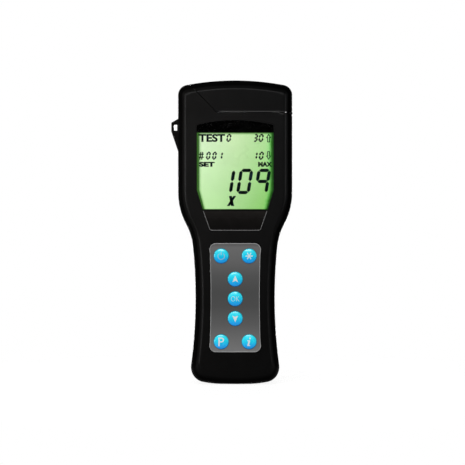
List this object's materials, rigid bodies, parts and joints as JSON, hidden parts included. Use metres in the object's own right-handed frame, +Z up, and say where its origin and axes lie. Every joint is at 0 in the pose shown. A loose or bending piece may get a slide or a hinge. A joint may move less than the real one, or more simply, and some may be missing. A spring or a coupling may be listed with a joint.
{
  "type": "luminometer",
  "caption": "Handheld luminometer: wide head with display, waisted keypad handle, strap lug, and a hinged lid over a deep tubular sample well.",
  "frame": {"origin": "middle of the flat foot on which the instrument stands, in the parting plane of the case", "axes": "+X to the user's right as they face the display, -Y out of the front face, +Z up the length towards the lid"},
  "size_m": [0.0763, 0.0326, 0.1911],
  "materials": {
    "case_plastic": "fine satin texture, charcoal black",
    "lid_plastic": "fine satin texture, charcoal black",
    "inner_plastic": "moulded, plain",
    "well_plastic": "smooth light-tight black",
    "soft_black": "soft black rubber or foam",
    "steel": "bright",
    "lens": "clear, black printed border",
    "plate_gloss": "glossy, thin light outline, bare",
    "panel_metal": "metallic grey, satin",
    "key_blue": "glossy azure blue with white sign",
    "board_green": "green solder mask",
    "chip_black": "matt black packages",
    "display_glass": "pale green liquid crystal cell",
    "display_light": "diffuser plate",
    "strip_rubber": "striped conductive rubber",
    "dome_metal": "snap domes",
    "cell_can": "wrapped cell can",
    "contact_nickel": "nickel plated"
  },
  "bodies": {
    "case": {"front_shell": "case_plastic", "rear_shell": "case_plastic", "case_seal": "soft_black", "deck": "inner_plastic", "deck_magnet": "steel", "well_tube": "well_plastic", "well_buffer": "soft_black", "hinge_pin": "steel", "window_lens": "lens", "name_plate": "plate_gloss", "keypad_panel": "panel_metal", "key_domes": "dome_metal", "main_board": "board_green", "board_screws": "steel", "case_screws": "steel", "display_glass": "display_glass", "display_backlight": "display_light", "display_strips": "strip_rubber", "display_frame": "steel", "board_parts": "chip_black", "buzzer": "chip_black", "photodiode": "steel", "detector_can": "steel", "detector_seal": "soft_black", "battery_cells": "cell_can", "battery_cradle": "inner_plastic", "battery_contacts": "contact_nickel"},
    "lid": {"lid_cover": "lid_plastic", "lid_liner": "inner_plastic", "lid_seal": "soft_black", "lid_magnet": "steel"},
    "battery_door": {"battery_door": "case_plastic", "door_pad": "soft_black"},
    "key_power": {"key_power": "key_blue"},
    "key_star": {"key_star": "key_blue"},
    "key_up": {"key_up": "key_blue"},
    "key_ok": {"key_ok": "key_blue"},
    "key_down": {"key_down": "key_blue"},
    "key_program": {"key_program": "key_blue"},
    "key_info": {"key_info": "key_blue"}
  },
  "joints": [
    {"name": "lid_hinge", "type": "hinge", "parent": "case", "child": "lid", "pos_m": [0.0344, 0, 0.17], "axis": [0, 1, 0], "range_deg": [0, 95]},
    {"name": "battery_door_hinge", "type": "hinge", "parent": "case", "child": "battery_door", "pos_m": [-0.0074, 0.0166, 0.024], "axis": [-1, 0, 0], "range_deg": [0, 70]},
    {"name": "key_power_press", "type": "slide", "parent": "case", "child": "key_power", "axis": [0, 1, 0], "range_m": [0, 0.00035], "stiffness_N_per_m": 1500},
    {"name": "key_star_press", "type": "slide", "parent": "case", "child": "key_star", "axis": [0, 1, 0], "range_m": [0, 0.00035], "stiffness_N_per_m": 1500},
    {"name": "key_up_press", "type": "slide", "parent": "case", "child": "key_up", "axis": [0, 1, 0], "range_m": [0, 0.00035], "stiffness_N_per_m": 1500},
    {"name": "key_ok_press", "type": "slide", "parent": "case", "child": "key_ok", "axis": [0, 1, 0], "range_m": [0, 0.00035], "stiffness_N_per_m": 1500},
    {"name": "key_down_press", "type": "slide", "parent": "case", "child": "key_down", "axis": [0, 1, 0], "range_m": [0, 0.00035], "stiffness_N_per_m": 1500},
    {"name": "key_program_press", "type": "slide", "parent": "case", "child": "key_program", "axis": [0, 1, 0], "range_m": [0, 0.00035], "stiffness_N_per_m": 1500},
    {"name": "key_info_press", "type": "slide", "parent": "case", "child": "key_info", "axis": [0, 1, 0], "range_m": [0, 0.00035], "stiffness_N_per_m": 1500}
  ]
}
